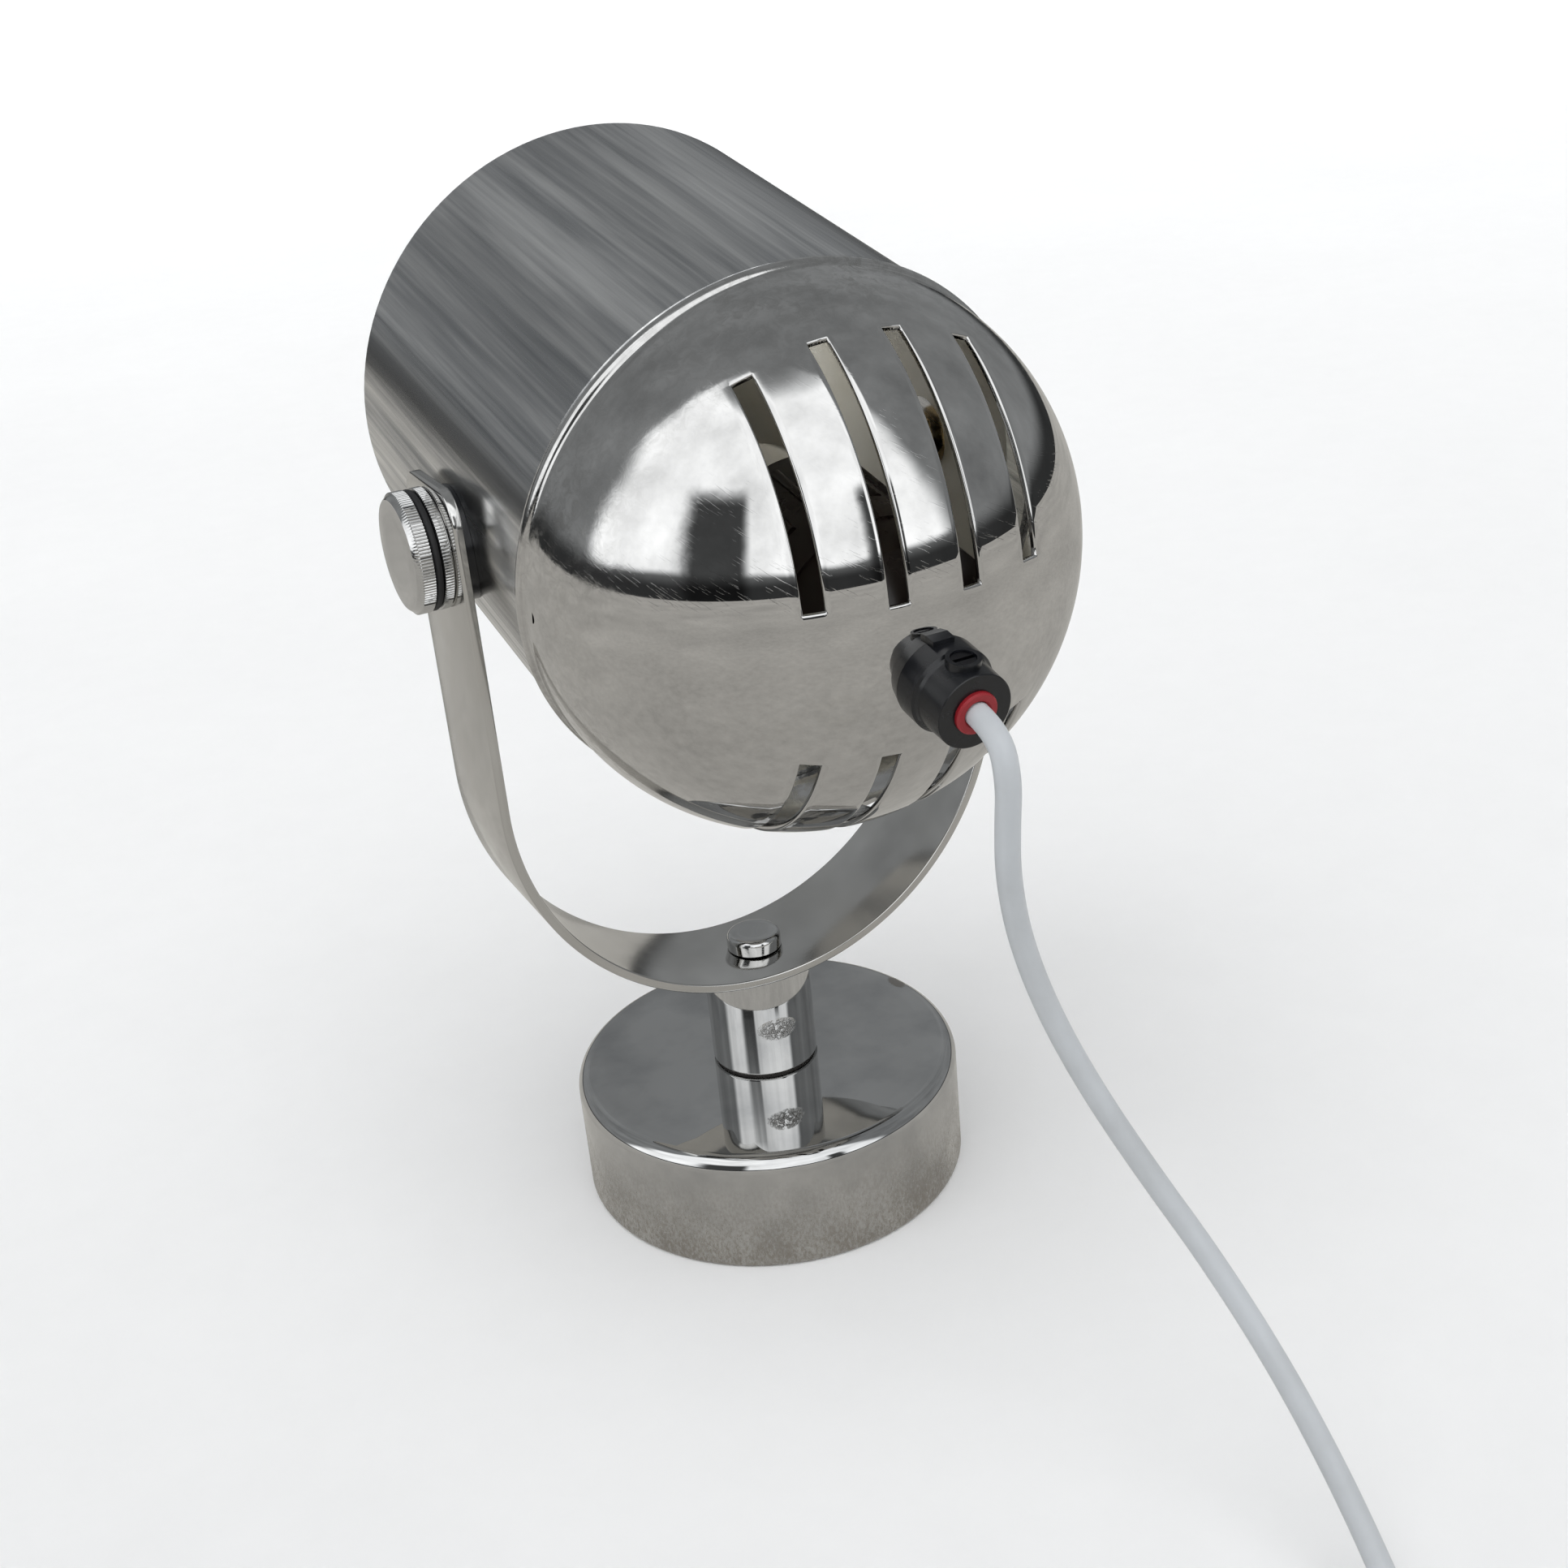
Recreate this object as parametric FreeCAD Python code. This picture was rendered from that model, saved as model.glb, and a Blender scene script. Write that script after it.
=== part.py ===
import FreeCAD, Part
import math
import os
from FreeCAD import Vector as V

# A chrome yoke spotlight on a round weighted base, with a slotted rear dome, side
# clamping knobs and a mains lead that leaves through a cord grip at the back.
# Millimetres. +Z is up the post, X is the tilt axis, the light leaves toward -Y.
# The origin is the centre of the foot pad's underside.

# base
BASE_R = 44.4
BASE_H = 28.25
BASE_EDGE = 3.4
SHEET = 1.2
PAD_R = 42.0
PAD_T = 2.0
PLATE_T = 1.2
WEIGHT_T = 15.0
WEIGHT_R = 42.8
WEIGHT_POCKET_R = 11.0
PIVOT_R = 4.0
POST_R = 12.15
WASHER_T = 0.5

# yoke: a flat strip bent to a half circle with straight arms
YOKE_R = 57.15
YOKE_T = 2.0
YOKE_W = 28.6
YOKE_LOW = 55.0
PIVOT_Z = 165.0
ARM_TOP = 13.4
ARM_CORNER = 7.0
YOKE_IN = YOKE_R - YOKE_T / 2
YOKE_OUT = YOKE_R + YOKE_T / 2
YOKE_CZ = YOKE_LOW + YOKE_R

# head
TILT = 12.0
HEAD_RISE = 4.5
TUBE_R = 54.0
NECK_R = 53.0
NECK_END = -33.3
TUBE_T = 1.0
TUBE_FRONT = 55.0
TUBE_BACK = -39.5
DOME_RIM = -33.5
DOME_SPRING = -40.7
DOME_R = 54.06
DOME_H = 50.4
DOME_T = 1.0
BEAD_R = 55.0
SLOT_X = (7.1, 21.2)
SLOT_W = 3.5
SLOT_INNER = 15.2
SLOT_RIM = -58.5
POLE = DOME_SPRING - DOME_H

# side hardware
STUD_R = 3.0
SPACER_R = 11.5
KNOB_R = 12.0
KNOB_L = 7.5
GAP = 0.12
RUN = 0.06

# cord grip, lampholder and lamp
GRIP_END = -102.4
CABLE_R = 2.25
BUSH_R = 4.0
BUSH_OUT = 0.9
BOSS_F = -97.8
NIPPLE_R = 4.9
HOLDER_R = 20.0
LAMP_R = 31.5

# lead: way points from the grip to the coil, and from the coil to the plug
LEAD = [
    (0, 101.1, 148.1), (0, 108.4, 146.55), (0, 110.6, 138.5), (-1, 108, 130),
    (-2.5, 105, 118), (-5, 104.2, 104), (-8, 108, 90), (-12, 115, 76),
    (-17, 124, 62), (-22, 136, 48), (-25.5, 150, 33), (-26.5, 165, 18.5),
    (-24, 182, 6.5), (-17, 199.5, 2.3), (-7.8, 214.5, 2.3),
]
TAIL = [
    (59.3, 227.5, 6.9), (67, 221.5, 6.9), (73.4, 214.3, 6.9), (76, 205.5, 6.9),
    (76, 197.05, 6.9),
]
COIL_C = (28.1, 208.9)
COIL_IN = 13.2
COIL_OUT = 36.2
COIL_H = 9.2
PLUG_X = 76.0
PLUG_Z = 6.9
PIN_GAP = 18.0
PIN_R = 2.0

head_axis = V(0, -math.cos(math.radians(TILT)), math.sin(math.radians(TILT)))
head_up = V(0, math.sin(math.radians(TILT)), math.cos(math.radians(TILT)))
head_centre = V(0, 0, PIVOT_Z) + head_up * HEAD_RISE


def to_head(shape):
    """Turn a shape built along +Z (front) with +Y up onto the tilted head."""
    moved = shape.copy()
    moved.rotate(V(0, 0, 0), V(1, 0, 0), 90 - TILT)
    moved.translate(head_centre)
    return moved


def lathe(path):
    """Revolve a closed (r, z) outline; a four-number item is an arc (mid, end)."""
    edges = []
    here = path[0]
    for item in path[1:] + [path[0]]:
        end = item[-2:]
        if len(item) == 4:
            points = [V(here[0], 0, here[1]), V(item[0], 0, item[1]), V(end[0], 0, end[1])]
            edges.append(Part.Arc(*points).toShape())
        else:
            edges.append(Part.LineSegment(V(here[0], 0, here[1]), V(end[0], 0, end[1])).toShape())
        here = end
    return Part.Face(Part.Wire(edges)).revolve(V(0, 0, 0), V(0, 0, 1), 360)


def cyl(r, z0, z1, x=0.0, y=0.0):
    return Part.makeCylinder(r, z1 - z0, V(x, y, z0))


def ring(r_out, r_in, z0, z1):
    return cyl(r_out, z0, z1).cut(cyl(r_in, z0 - 1, z1 + 1))


def along_x(r, x0, x1, y, z):
    """A cylinder along X between two stations; the second may be on either side."""
    low, high = min(x0, x1), max(x0, x1)
    return Part.makeCylinder(r, high - low, V(low, y, z), V(1, 0, 0))


def hexagon(flats, z0, z1):
    corner = flats / math.sqrt(3)
    points = [V(corner * math.cos(math.radians(60 * i)), corner * math.sin(math.radians(60 * i)), z0)
              for i in range(7)]
    return Part.Face(Part.makePolygon(points)).extrude(V(0, 0, z1 - z0))


def edges_at(shape, test):
    return [e for e in shape.Edges if test(e)]


def save(name, shape):
    shape.exportStep("parts/%s.step" % name)
    facts = (name, len(shape.Solids), shape.Volume, shape.isValid())
    print("%-18s solids %d  volume %9.1f  valid %s" % facts)


# ---------------------------------------------------------------- base

def base_shell():
    """Spun cup: rounded top edge, open underneath, centre hole for the pivot rod."""
    low = 0.4
    top = BASE_H
    inner = BASE_R - SHEET
    soft = BASE_EDGE - SHEET
    diag = BASE_EDGE * (1 - math.sqrt(0.5))
    soft_diag = soft * (1 - math.sqrt(0.5))
    return lathe([
        (PIVOT_R + RUN, top), (BASE_R - BASE_EDGE, top),
        (BASE_R - diag, top - diag, BASE_R, top - BASE_EDGE),
        (BASE_R, low), (inner, low), (inner, top - BASE_EDGE),
        (inner - soft_diag, top - SHEET - soft_diag, inner - soft, top - SHEET),
        (PIVOT_R + RUN, top - SHEET),
    ])


def base_weight():
    """Cast iron slug with a centre pocket for the pivot nut and three tapped holes."""
    z0 = PAD_T + PLATE_T
    body = ring(WEIGHT_R, WEIGHT_POCKET_R, z0, z0 + WEIGHT_T)
    for x, y in screw_places():
        body = body.cut(cyl(2.0, z0 - 1, z0 + 8.2, x, y))
    return body


def screw_places():
    return [(30 * math.cos(math.radians(a)), 30 * math.sin(math.radians(a))) for a in (90, 210, 330)]


def base_plate():
    body = cyl(WEIGHT_R, PAD_T, PAD_T + PLATE_T)
    for x, y in screw_places():
        body = body.cut(cyl(2.1, PAD_T - 1, PAD_T + PLATE_T + 1, x, y))
    return body


def foot_pad():
    """Felt disc that the lamp stands on, with pockets for the three screw heads."""
    body = cyl(PAD_R, 0, PAD_T)
    for x, y in screw_places():
        body = body.cut(cyl(4.2, PAD_T - 1.5, PAD_T + 1, x, y))
    return body


def plate_screws():
    made = []
    for x, y in screw_places():
        head = cyl(3.6, PAD_T - 1.4, PAD_T, x, y)
        made.append(head.fuse(cyl(1.95, PAD_T - 0.2, PAD_T + PLATE_T + 7.5, x, y)))
    return Part.Compound(made)


# ---------------------------------------------------------------- post and swivel

POST_LOW = BASE_H + WASHER_T + 0.05
ROD_LOW = 16.6
ROD_TOP = 40.0


def yoke_hull(grow=0.0):
    """The half cylinder and slab under the arms, to shape what touches the strip."""
    r = YOKE_OUT + grow
    return Part.makeCylinder(r, 60, V(0, -30, YOKE_CZ), V(0, 1, 0))


def post():
    body = cyl(POST_R, POST_LOW, YOKE_LOW + 4)
    low_edge = edges_at(body, lambda e: abs(e.BoundBox.ZMax - POST_LOW) < 1e-6 and e.BoundBox.XLength > 5)
    body = body.makeFillet(0.5, low_edge)
    body = body.cut(yoke_hull(0.02))
    body = body.cut(cyl(PIVOT_R + 0.02, POST_LOW - 1, ROD_TOP + 0.3))
    return body.cut(cyl(2.52, 43.0, YOKE_LOW + 6))


def swivel_rod():
    """Threaded rod fixed in the post; it turns in the base top's hole."""
    return cyl(PIVOT_R, ROD_LOW, ROD_TOP)


def swivel_nut():
    return hexagon(13.0, 18.4, 24.6).cut(cyl(PIVOT_R + 0.01, 17, 26))


def friction_washer():
    """Fibre washer between the post and the base top."""
    return ring(POST_R - 0.5, PIVOT_R + 0.3, BASE_H, BASE_H + WASHER_T)


def spring_washer():
    """Dished washer under the base top that keeps the swivel stiff."""
    return lathe([(5.0, 24.75), (8.6, 26.0), (8.6, 27.0), (5.0, 25.75)])


# ---------------------------------------------------------------- yoke

def yoke():
    top = PIVOT_Z + ARM_TOP
    w = YOKE_W / 2
    outer = Part.makeCylinder(YOKE_OUT, YOKE_W, V(0, -w, YOKE_CZ), V(0, 1, 0))
    outer = outer.fuse(Part.makeBox(2 * YOKE_OUT, YOKE_W, top - YOKE_CZ, V(-YOKE_OUT, -w, YOKE_CZ)))
    inner = Part.makeCylinder(YOKE_IN, YOKE_W + 2, V(0, -w - 1, YOKE_CZ), V(0, 1, 0))
    inner = inner.fuse(Part.makeBox(2 * YOKE_IN, YOKE_W + 2, 200, V(-YOKE_IN, -w - 1, YOKE_CZ)))
    outer = outer.cut(Part.makeBox(200, 60, 200, V(-100, -30, top)))
    strip = outer.cut(inner).removeSplitter()
    ends = edges_at(strip, lambda e: abs(e.BoundBox.ZMin - top) < 1e-4
                    and abs(e.BoundBox.XLength - YOKE_T) < 1e-4
                    and e.BoundBox.YLength < 1e-4)
    strip = strip.makeFillet(ARM_CORNER, ends)
    strip = strip.cut(along_x(STUD_R + RUN, -70, 70, 0, PIVOT_Z))
    return strip.cut(cyl(2.6, YOKE_LOW - 5, YOKE_LOW + 5))


def yoke_screw():
    """Flat button-head screw that clamps the strip on the post."""
    seat = YOKE_LOW + 1.4
    head = cyl(6.2, seat, seat + 3.9)
    rim = edges_at(head, lambda e: abs(e.BoundBox.ZMin - seat - 3.9) < 1e-6 and e.BoundBox.XLength > 5)
    head = head.makeFillet(1.1, rim)
    return head.fuse(cyl(2.5, 44.0, seat + 0.5))


# ---------------------------------------------------------------- knobs and pivots

def both_sides(make):
    return Part.Compound([make(1), make(-1)])


def pivot_hole(r):
    """A cross hole along the tilt axis, in the head's own frame."""
    return along_x(r, -70, 70, -HEAD_RISE, 0)


def spacers():
    """Round friction blocks between the shade and the arms, saddled to the shade."""
    saddle = cyl(TUBE_R + 0.03, -40, 40)

    def one(side):
        block = along_x(SPACER_R, side * 46, side * (YOKE_IN - GAP), -HEAD_RISE, 0)
        return block.cut(saddle).cut(pivot_hole(STUD_R + 0.02))

    return to_head(both_sides(one))


def studs():
    return to_head(both_sides(lambda s: along_x(STUD_R, s * 45.4, s * (YOKE_OUT + 6.4), -HEAD_RISE, 0)))


def stud_nuts():
    def one(side):
        nut = hexagon(10.0, 0, 4.4).cut(cyl(STUD_R + 0.01, -1, 6))
        nut.rotate(V(0, 0, 0), V(0, 1, 0), 90)
        nut.translate(V(47.4 if side > 0 else -51.8, -HEAD_RISE, 0))
        return nut

    return to_head(both_sides(one))


RING_X = (2.2, 3.8)


def knob(side):
    """Turned clamping knob with bevelled face and a groove for its rubber ring."""
    x0 = YOKE_OUT + GAP
    r = KNOB_R
    turned = lathe([
        (STUD_R + RUN, 0), (r - 0.5, 0), (r, 0.5), (r, RING_X[0]), (r - 1.4, RING_X[0]),
        (r - 1.4, RING_X[1]), (r, RING_X[1]), (r, KNOB_L - 0.7), (r - 0.9, KNOB_L),
        (0, KNOB_L), (0, 6.6), (STUD_R + RUN, 6.6),
    ])
    turned.rotate(V(0, 0, 0), V(0, 1, 0), 90 * side)
    turned.translate(V(side * x0, 0, PIVOT_Z))
    return turned


def knob_ring(side):
    body = ring(KNOB_R - 0.05, KNOB_R - 1.4, RING_X[0], RING_X[1])
    body.rotate(V(0, 0, 0), V(0, 1, 0), 90 * side)
    body.translate(V(side * (YOKE_OUT + GAP), 0, PIVOT_Z))
    return body


# ---------------------------------------------------------------- head

def shade_tube():
    """Drawn tube with a hemmed front lip, necked down where it enters the dome."""
    inner = TUBE_R - TUBE_T
    neck = NECK_R - TUBE_T
    f = TUBE_FRONT
    body = lathe([
        (NECK_R, TUBE_BACK), (NECK_R, NECK_END), (TUBE_R, NECK_END + 0.6),
        (TUBE_R, f - 1.2), (TUBE_R - 0.35, f - 0.35, TUBE_R - 1.2, f),
        (inner - 0.6, f), (inner - 0.6, f - 2.4), (inner, f - 2.4),
        (inner, NECK_END + 1.6), (neck, NECK_END + 1.0), (neck, TUBE_BACK),
    ])
    return to_head(body.cut(pivot_hole(STUD_R + 0.02)))


def shade_liner():
    """Thin pale lining of the shade, cut away round the two nuts."""
    inner = TUBE_R - TUBE_T - 0.05
    body = ring(inner, inner - 0.4, NECK_END + 2.0, TUBE_FRONT - 3.2)
    return to_head(body.cut(pivot_hole(8.5)))


def ellipse_arc(a, b, r_hole):
    """The quarter ellipse from the equator at DOME_SPRING to a hole round the pole."""
    centre = V(0, 0, DOME_SPRING)
    curve = Part.Ellipse(V(a, 0, DOME_SPRING), V(0, 0, DOME_SPRING - b), centre)
    return Part.ArcOfEllipse(curve, 0, math.acos(r_hole / a)).toShape()


def ends_of(edge):
    return sorted([v.Point for v in edge.Vertexes], key=lambda p: -p.x)


def rear_dome():
    """Vented cap: straight lip with a rolled bead, then a near-hemisphere."""
    hole = NIPPLE_R + 0.3
    inner = DOME_R - DOME_T
    skin = ellipse_arc(DOME_R, DOME_H, hole)
    back = ellipse_arc(inner, DOME_H - DOME_T, hole)
    skin_eq, skin_pole = ends_of(skin)
    back_eq, back_pole = ends_of(back)
    bead0 = V(DOME_R, 0, DOME_RIM - 3.6)
    bead1 = V(DOME_R, 0, DOME_RIM - 0.1)
    crest = V(BEAD_R, 0, DOME_RIM - 1.85)
    rim = V(inner, 0, DOME_RIM - 0.1)
    lines = [(skin_eq, bead0), (bead1, rim), (rim, back_eq), (back_pole, skin_pole)]
    edges = [Part.LineSegment(a, b).toShape() for a, b in lines]
    edges += [skin, back, Part.Arc(bead0, crest, bead1).toShape()]
    outline = Part.Wire(Part.__sortEdges__(edges))
    body = Part.Face(outline).revolve(V(0, 0, 0), V(0, 0, 1), 360)
    for x in SLOT_X:
        for sx in (-1, 1):
            for sy in (-1, 1):
                low = SLOT_INNER if sy > 0 else -SLOT_INNER - 45
                body = body.cut(Part.makeBox(SLOT_W, 45, 45, V(sx * x - SLOT_W / 2, low, SLOT_RIM - 45)))
    return to_head(body)


def nipple():
    """Hollow threaded entry tube that ties grip, dome and lampholder together."""
    return to_head(ring(NIPPLE_R, 3.4, POLE - 4.5, -78.0))


def dome_washer():
    return to_head(ring(9.0, NIPPLE_R + 0.05, -89.2, -88.2))


def nipple_nut():
    return to_head(hexagon(14.0, -88.15, -85.2).cut(cyl(NIPPLE_R + 0.01, -90, -84)))


def holder_cap():
    body = lathe([
        (NIPPLE_R + 0.02, -85.1), (12.0, -85.1), (HOLDER_R - 0.5, -78.5), (HOLDER_R - 0.5, -68.05),
        (16.0, -68.05), (16.0, -73.0), (NIPPLE_R + 0.02, -75.0),
    ])
    return to_head(body)


def holder_body():
    """Moulded lampholder cup with ribs round the grip band."""
    r = HOLDER_R
    body = lathe([
        (2.6, -68.0), (r, -68.0), (r, -60.0), (r - 1.0, -59.0), (r - 1.0, -38.5), (r - 2.5, -36.5),
        (14.5, -36.5), (14.5, -62.0), (2.6, -62.0),
    ])
    rib = cyl(0.9, -58.5, -42.0, r - 1.0, 0)
    for i in range(20):
        one = rib.copy()
        one.rotate(V(0, 0, 0), V(0, 0, 1), i * 18)
        body = body.fuse(one)
    return to_head(body)


def holder_shell():
    return to_head(ring(14.45, 13.75, -61.4, -38.0))


def holder_contact():
    return to_head(cyl(2.5, -72.0, -61.0).fuse(cyl(4.2, -61.9, -61.0)))


def lamp_cap():
    """Screw cap of the lamp with five rounded thread crests."""
    path = [(0, -60.9), (4.0, -60.9), (6.0, -59.2), (12.2, -58.4)]
    for i in range(5):
        z = -58.0 + 3.6 * i
        path += [(12.4, z), (13.5, z + 1.3), (13.5, z + 1.9), (12.4, z + 3.2)]
    path += [(12.6, -39.2), (12.6, -36.0), (0, -36.0)]
    return to_head(lathe(path))


def lamp_glass():
    """Hollow reflector lamp envelope, 1 mm glass."""
    r = LAMP_R
    outer = [(12.5, -35.95), (13.2, -20.0), (r - 4.0, 8.0, r, 21.0), (r - 0.6, 29.0, r - 5.0, 34.5)]
    outer += [(15.0, 38.7, 3.0, 39.9), (0, 39.9)]
    inner = [(0, 38.9), (3.0, 38.9), (14.6, 37.7, r - 5.6, 33.6), (r - 1.7, 28.6, r - 1.0, 21.0)]
    inner += [(r - 5.0, 8.3, 12.2, -20.0), (11.5, -35.95)]
    return to_head(lathe(outer + inner))


def inner_leads():
    """The stripped wires from the nipple's mouth to the lampholder terminals."""
    made = []
    for sx in (-1, 1):
        way = [(1.7, -77.0), (2.4, -74.9), (5.6, -72.3), (8.6, -69.3)]
        made.append(route_tube([V(sx * x, 0, z) for x, z in way], 1.0)[0])
    return to_head(Part.Compound(made))


# ---------------------------------------------------------------- cord grip

def dome_solid():
    """Filled outer shape of the dome, to seat the grip's flange on it."""
    arc = ellipse_arc(DOME_R + 0.03, DOME_H + 0.03, 0.001)
    equator, pole = ends_of(arc)
    hub = V(0, 0, DOME_SPRING)
    foot = V(0, 0, pole.z)
    edges = [arc, Part.LineSegment(pole, foot).toShape(), Part.LineSegment(foot, hub).toShape(),
             Part.LineSegment(hub, equator).toShape()]
    outline = Part.Wire(Part.__sortEdges__(edges))
    return Part.Face(outline).revolve(V(0, 0, 0), V(0, 0, 1), 360)


def grip_body():
    """Moulded cord grip: seating flange with a tab, tapered barrel, screw boss."""
    e = GRIP_END
    body = lathe([
        (BUSH_R + 0.05, e), (7.0, e), (7.15, e + 0.15), (7.3, -96.2), (7.6, -95.6), (8.1, -95.2),
        (8.1, -89.0), (NIPPLE_R + 0.02, -89.0), (NIPPLE_R + 0.02, -95.7), (BUSH_R + 0.05, -95.8),
    ])
    tab = Part.makeBox(4.2, 2.0, 2.6, V(-1.4, 7.0, -92.7))
    boss = Part.makeCylinder(3.1, 8.0, V(0, 0.2, BOSS_F), V(0, 1, 0))
    bore = cyl(BUSH_R + 0.05, -103.5, -95.5)
    body = body.fuse(boss.cut(bore)).fuse(tab)
    body = body.cut(cyl(NIPPLE_R + 0.02, -95.7, -88.0)).cut(dome_solid())
    socket = Part.makeCylinder(2.3, 3.0, V(0, 6.6, BOSS_F), V(0, 1, 0))
    shaft = Part.makeCylinder(1.25, 12.0, V(0, 4.15, BOSS_F), V(0, 1, 0))
    return to_head(body.cut(socket).cut(shaft))


def grip_screw():
    """Slotted clamp screw in the boss."""
    screw = Part.makeCylinder(2.2, 1.2, V(0, 6.65, BOSS_F), V(0, 1, 0))
    screw = screw.fuse(Part.makeCylinder(1.2, 2.3, V(0, 4.4, BOSS_F), V(0, 1, 0)))
    slot = Part.makeBox(6.0, 1.0, 0.8, V(-3.0, 7.2, BOSS_F - 0.4))
    return to_head(screw.cut(slot))


def grip_bush():
    """Coloured bush round the lead, standing a little out of the grip."""
    e = GRIP_END - BUSH_OUT
    inner = CABLE_R + 0.05
    return to_head(lathe([
        (inner + 0.35, e), (BUSH_R - 0.3, e), (BUSH_R, e + 0.3),
        (BUSH_R, -95.85), (inner, -95.85), (inner, e + 0.35),
    ]))


def cable_stub():
    """The clamped end of the lead inside the grip."""
    return to_head(cyl(CABLE_R, GRIP_END, -79.0))


# ---------------------------------------------------------------- mains lead

def route_tube(points, r):
    """Round tube along straight runs joined by arcs as large as the runs allow."""
    edges = []
    radii = []
    length = 0.0
    here = points[0]
    for a, b, c in zip(points, points[1:], points[2:]):
        d1 = (b - a).normalize()
        d2 = (c - b).normalize()
        half = d1.getAngle(d2) / 2
        setback = 0.45 * min((b - a).Length, (c - b).Length)
        bend = setback / math.tan(half)
        p1 = b - d1 * setback
        p2 = b + d2 * setback
        inward = (d2 - d1).normalize()
        mid = b + inward * (bend / math.cos(half) - bend)
        edges.append(Part.LineSegment(here, p1).toShape())
        edges.append(Part.Arc(p1, mid, p2).toShape())
        radii.append(bend)
        here = p2
    edges.append(Part.LineSegment(here, points[-1]).toShape())
    path = Part.Wire(edges)
    circle = Part.Wire([Part.Circle(points[0], points[1] - points[0], r).toShape()])
    body = path.makePipeShell([circle], True, False)
    return body, radii, path.Length


def lead_tube(points):
    body, radii, length = route_tube([V(*p) for p in points], CABLE_R)
    print("arc radii", " ".join("%.1f" % x for x in radii), "length %.1f" % length,
          "volume ratio %.4f" % (body.Volume / (math.pi * CABLE_R ** 2 * length)))
    return body.cut(cable_coil())


def cable_coil():
    body = ring(COIL_OUT, COIL_IN, 0, COIL_H)
    body.translate(V(COIL_C[0], COIL_C[1], 0))
    return body


def plug_sleeve():
    """Tapered sleeve where the lead enters the plug."""
    body = lathe([(0, 0), (3.0, 0), (3.4, 0.4), (5.6, 14.0), (0, 14.0)])
    body.rotate(V(0, 0, 0), V(1, 0, 0), 90)
    body.translate(V(PLUG_X, 197.0, PLUG_Z))
    return body


def plug_body():
    """Flat two-pin plug, waisted behind the pins for the fingers."""
    h = PLUG_Z - 0.1
    outline = [(-6.2, 183.0), (6.2, 183.0), (12.9, 173.0), (13.2, 159.0), (-13.2, 159.0), (-12.9, 173.0)]
    points = [V(PLUG_X + x, y, PLUG_Z - h) for x, y in outline]
    body = Part.Face(Part.makePolygon(points + points[:1])).extrude(V(0, 0, 2 * h))
    long_edges = edges_at(body, lambda e: e.BoundBox.ZLength < 1e-6 and e.BoundBox.YLength > 5)
    body = body.makeFillet(2.2, long_edges)
    for side in (-1, 1):
        body = body.cut(pin_root(side))
    return body


def pin_root(side):
    """The pin's moulded-in shank."""
    return Part.makeCylinder(1.5, 6.0, V(PLUG_X + side * PIN_GAP / 2, 159.0, PLUG_Z), V(0, 1, 0))


def plug_pins():
    made = []
    for side in (-1, 1):
        pin = Part.makeCylinder(PIN_R, 19.0, V(PLUG_X + side * PIN_GAP / 2, 140.0, PLUG_Z), V(0, 1, 0))
        tip = edges_at(pin, lambda e: abs(e.BoundBox.YMax - 140.0) < 1e-6)
        made.append(pin.makeFillet(1.2, tip).fuse(pin_root(side)))
    return Part.Compound(made)


os.makedirs("parts", exist_ok=True)
for node, shape in (
    ("base_shell", base_shell()), ("base_weight", base_weight()), ("base_plate", base_plate()),
    ("foot_pad", foot_pad()), ("plate_screws", plate_screws()), ("friction_washer", friction_washer()),
    ("spring_washer", spring_washer()), ("post", post()), ("swivel_rod", swivel_rod()),
    ("swivel_nut", swivel_nut()), ("yoke", yoke()), ("yoke_screw", yoke_screw()),
    ("spacers", spacers()), ("studs", studs()), ("stud_nuts", stud_nuts()),
    ("knob_left", knob(1)), ("knob_right", knob(-1)), ("ring_left", knob_ring(1)),
    ("ring_right", knob_ring(-1)), ("shade_tube", shade_tube()), ("shade_liner", shade_liner()),
    ("rear_dome", rear_dome()), ("nipple", nipple()), ("dome_washer", dome_washer()),
    ("nipple_nut", nipple_nut()), ("holder_cap", holder_cap()), ("holder_body", holder_body()),
    ("holder_shell", holder_shell()), ("holder_contact", holder_contact()), ("lamp_cap", lamp_cap()),
    ("lamp_glass", lamp_glass()), ("inner_leads", inner_leads()), ("grip_body", grip_body()),
    ("grip_screw", grip_screw()), ("grip_bush", grip_bush()), ("cable_stub", cable_stub()),
    ("cable_lead", lead_tube(LEAD)), ("cable_tail", lead_tube(TAIL)), ("cable_coil", cable_coil()),
    ("plug_sleeve", plug_sleeve()), ("plug_body", plug_body()), ("plug_pins", plug_pins()),
):
    save(node, shape)
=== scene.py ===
import math
import bmesh
import bpy
from mathutils import Matrix, Vector


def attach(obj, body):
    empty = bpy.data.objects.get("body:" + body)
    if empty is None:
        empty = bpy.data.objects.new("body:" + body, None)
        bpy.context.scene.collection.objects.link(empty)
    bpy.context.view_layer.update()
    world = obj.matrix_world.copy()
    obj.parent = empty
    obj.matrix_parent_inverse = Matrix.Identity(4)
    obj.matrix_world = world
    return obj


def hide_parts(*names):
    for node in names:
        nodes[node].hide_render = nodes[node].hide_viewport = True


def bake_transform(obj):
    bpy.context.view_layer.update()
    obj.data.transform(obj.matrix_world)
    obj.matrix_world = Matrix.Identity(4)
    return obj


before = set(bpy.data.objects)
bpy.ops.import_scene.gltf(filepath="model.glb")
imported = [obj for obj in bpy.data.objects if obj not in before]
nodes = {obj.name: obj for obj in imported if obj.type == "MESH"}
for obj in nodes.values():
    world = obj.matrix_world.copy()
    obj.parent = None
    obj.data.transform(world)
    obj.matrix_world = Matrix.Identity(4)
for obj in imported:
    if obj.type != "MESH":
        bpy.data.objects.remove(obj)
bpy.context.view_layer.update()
scene = bpy.context.scene

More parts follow.
